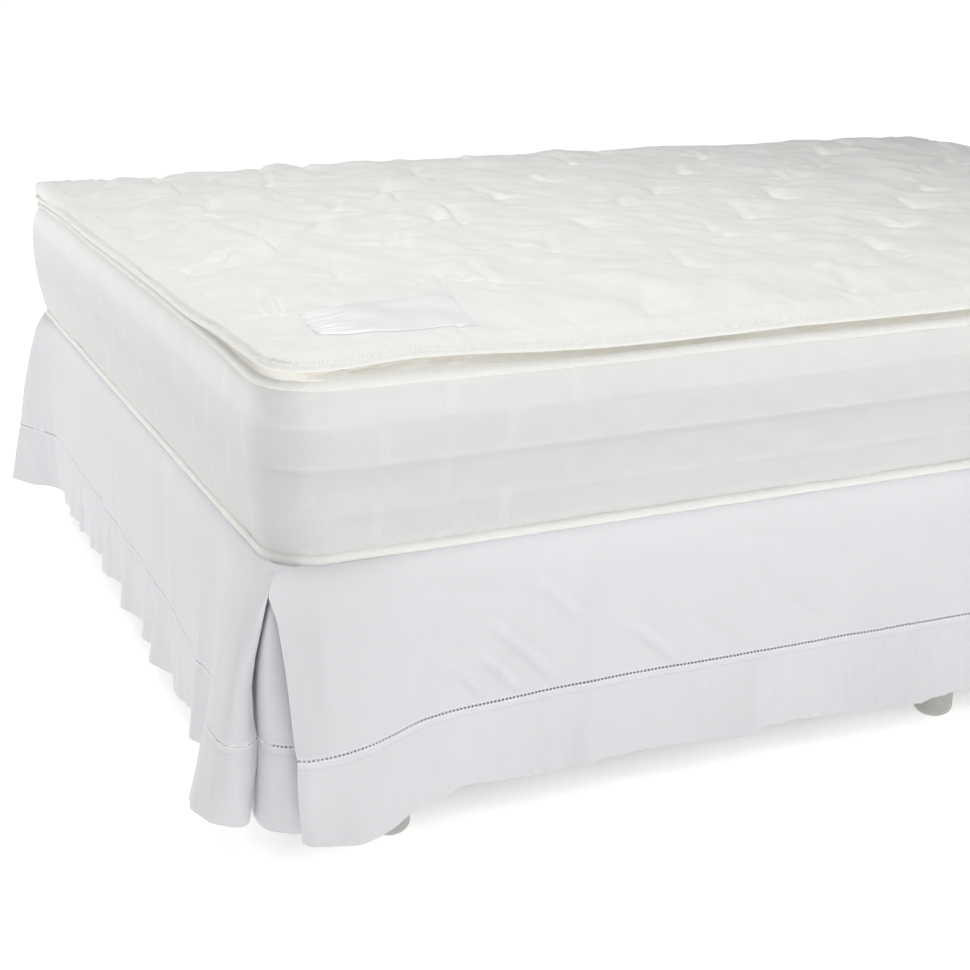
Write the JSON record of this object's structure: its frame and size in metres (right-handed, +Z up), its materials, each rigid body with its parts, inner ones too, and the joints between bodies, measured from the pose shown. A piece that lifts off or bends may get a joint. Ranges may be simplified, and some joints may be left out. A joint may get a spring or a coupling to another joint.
{
  "type": "bed skirt on a bed with its mattress",
  "caption": "Tailored bed skirt with a hemstitched drop and split foot corners, hung on a bed base under a pillow-top mattress.",
  "frame": {"origin": "on the floor, at the middle of the whole object's footprint", "axes": "+X from the foot end to the head end, +Y across the bed, +Z up"},
  "size_m": [2.1313, 1.6864, 0.6715],
  "materials": {
    "skirt_cloth": "plain woven cotton, matt",
    "ticking": "quilted ticking with a soft sheen",
    "edge_tape": "ribbed tape, matt",
    "base_cloth": "plain cover cloth, matt",
    "foot_plastic": "moulded, satin"
  },
  "bodies": {
    "root": {"skirt_deck": "skirt_cloth", "skirt_foot_panel": "skirt_cloth", "skirt_near_panel": "skirt_cloth", "skirt_far_panel": "skirt_cloth", "skirt_near_underlay": "skirt_cloth", "skirt_far_underlay": "skirt_cloth", "mattress_body": "ticking", "pillow_top": "ticking", "pillow_tape": "edge_tape", "border_cord": "edge_tape", "bottom_tape": "edge_tape", "bed_base": "base_cloth", "bed_foot_1": "foot_plastic", "bed_foot_2": "foot_plastic", "bed_foot_3": "foot_plastic", "bed_foot_4": "foot_plastic", "bed_foot_5": "foot_plastic", "bed_foot_6": "foot_plastic"}
  },
  "joints": []
}
